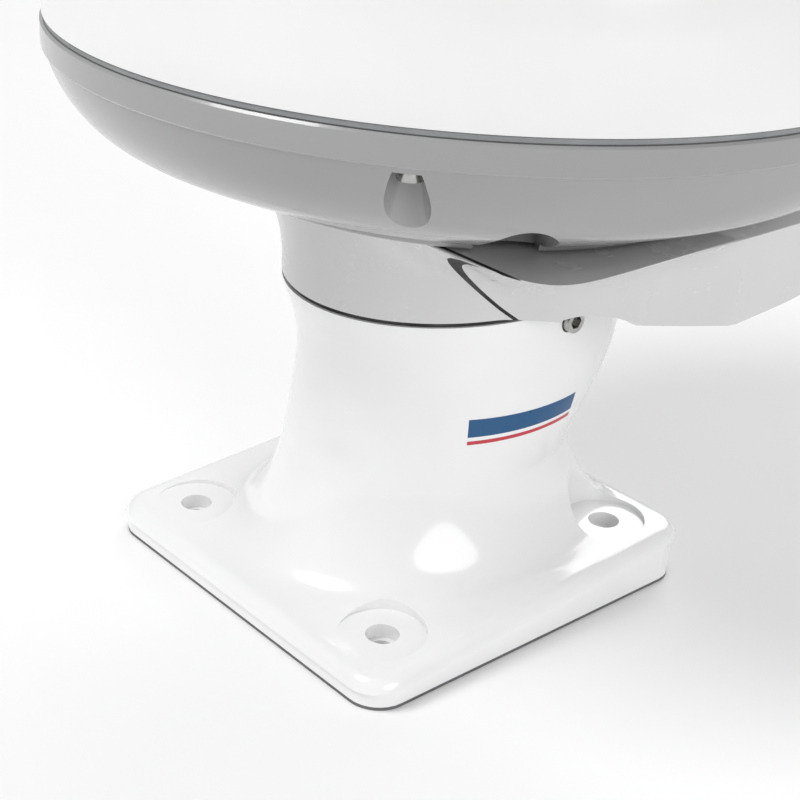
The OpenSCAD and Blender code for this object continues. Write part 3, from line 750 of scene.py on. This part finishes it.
def make_pan():
    quarter = math.pi / 2
    curve = [pan_point(quarter * k / 60, 0) for k in range(61)]
    crease = PAN_CREASE_Z
    outer = [(PAN_BAY_R, FOOT_Z + 0.6), (PAN_BAY_R + 0.6, FOOT_Z), (PAN_FOOT_R - 0.6, FOOT_Z),
             (PAN_FOOT_R, FOOT_Z + 0.6)]
    outer += [(r, z) for r, z in curve if r > PAN_FOOT_R + 0.3 and z < crease - 0.4]
    outer += [(164.75, crease - 0.4), (165.35, crease), (165.9, crease + 0.7), (DOME_R, crease + 3),
              (DOME_R, PAN_Z - 0.8), (DOME_R - 0.8, PAN_Z)]
    rim = [(DOME_R - 22, PAN_Z), (DOME_R - 22, PAN_Z - 4), (DOME_R - SHELL_T - 1, PAN_Z - 6)]
    inner = [pan_point(quarter * k / 60, SHELL_T) for k in range(60, 0, -1)]
    inner = [(r, z) for r, z in inner if z < PAN_Z - 8 and r > 131]
    low = [(129, PAN_FLOOR_Z + SHELL_T), (AXIS_R, PAN_FLOOR_Z + SHELL_T), (AXIS_R, PAN_FLOOR_Z),
           (PAN_BAY_R, PAN_FLOOR_Z)]
    pan = lathe("pan", outer + rim + inner + low, 288)
    fill = [(r, z) for r, z in outer if z > PAN_FLOOR_Z] + [(AXIS_R, PAN_Z), (AXIS_R, PAN_FLOOR_Z)]
    bosses = [peg("boss", POCKET_R + 2.5, PAN_Z - PAN_FLOOR_Z, around_dome(a, POCKET_RING, 0, PAN_FLOOR_Z))
              for a in SCREW_ANGLES]
    for boss in bosses + [arch("channel", NOTCH_R + 3, PAN_BAY_R - SHELL_T, PAN_FLOOR_Z)]:
        combine(boss, lathe("fill", fill, 288), "INTERSECT")
        join(pan, boss)
    for a in SCREW_ANGLES:
        cut(pan, peg("pocket", POCKET_R, POCKET_TOP - FOOT_Z, around_dome(a, POCKET_RING, 0, FOOT_Z)),
            peg("screw_hole", 2.6, 70, around_dome(a, SCREW_RING, 0, FOOT_Z), 32))
    for x, y in DOME_BOLTS:
        join(pan, peg("boss", 10, 14, at(x, y, FOOT_Z)))
        cut(pan, peg("hole", 4.1, 4, at(x, y, FOOT_Z - 1), 32),
            peg("hole", 6, 11, at(x, y, FOOT_Z + 1), 48))
    cut(pan, arch("notch", NOTCH_R, PAN_BAY_R, FOOT_Z - 2))
    for x, y, r in INLETS:
        cut(pan, peg("inlet", r, 10, at(x, y, PAN_FLOOR_Z - 1), 64))
    install(pan, "lower_pan", "pan_plastic", 24)


def make_radome():
    def point(t, inset):
        return ((DOME_R - inset) * max(math.cos(t), 0) ** 0.62 + (AXIS_R if t > 1.57 else 0),
                RADOME_Z + (CROWN_Z - inset - RADOME_Z) * math.sin(t) ** 0.62)

    def fraction(k, steps):
        return math.pi / 2 * (k / steps) ** 1.35

    steps = 90
    outer = [(DOME_R - 0.7, RADOME_Z)] + [point(fraction(k, steps), 0) for k in range(2, steps + 1)]
    inner = [point(fraction(k, steps), SHELL_T) for k in range(steps, -1, -1)]
    radome = lathe("radome", outer + inner, 288)
    for a in SCREW_ANGLES:
        join(radome, peg("boss", 8.5, 14, around_dome(a, SCREW_RING, 0, RADOME_Z)))
        cut(radome, peg("hole", 2.5, 13, around_dome(a, SCREW_RING, 0, RADOME_Z - 1), 32))
    install(radome, "upper_radome", "radome_plastic", 24)


def make_dome_seal():
    outer, inner, top = DOME_R - 1.2, DOME_R - 7, RADOME_Z
    bulge = [(outer - 0.6, PAN_Z), (outer, PAN_Z + 0.5), (outer, top - 0.5), (outer - 0.6, top)]
    seal = lathe("dome_seal", bulge + [(inner, top), (inner, PAN_Z)], 288)
    install(seal, "radome_gasket", "pale_rubber")


# ---- The CAD's own pieces ----

def finish_cad_nodes():
    """Gives each CAD node its slot's material, and welds and rounds those that stay."""
    slots = {part["node"]: part["material_slot"] for part in frame["record"]["subparts"]}
    replaced = {"pedestal_casting", "front_collar", "rear_housing", "housing_gasket", "neck_gasket",
                "lower_pan", "upper_radome", "radome_gasket"}
    for name, obj in frame["nodes"].items():
        material = MATERIALS[slots[name]]
        for place in obj.material_slots:
            place.material = material
        if not obj.material_slots:
            obj.data.materials.append(material)
        if name in replaced:
            continue
        weld = obj.modifiers.new("weld", "WELD")
        weld.merge_threshold = 0.000002
        round_edges(obj, 0.25)


make_camera()
make_studio()
make_floor()
make_pedestal()
make_side_bar("side_bar_wide", 80, 88, MARKING_BLUE)
make_side_bar("side_bar_thin", 76.6, 78.2, MARKING_RED)
make_adapter()
make_neck_seal()
make_pan()
make_radome()
make_dome_seal()
finish_cad_nodes()
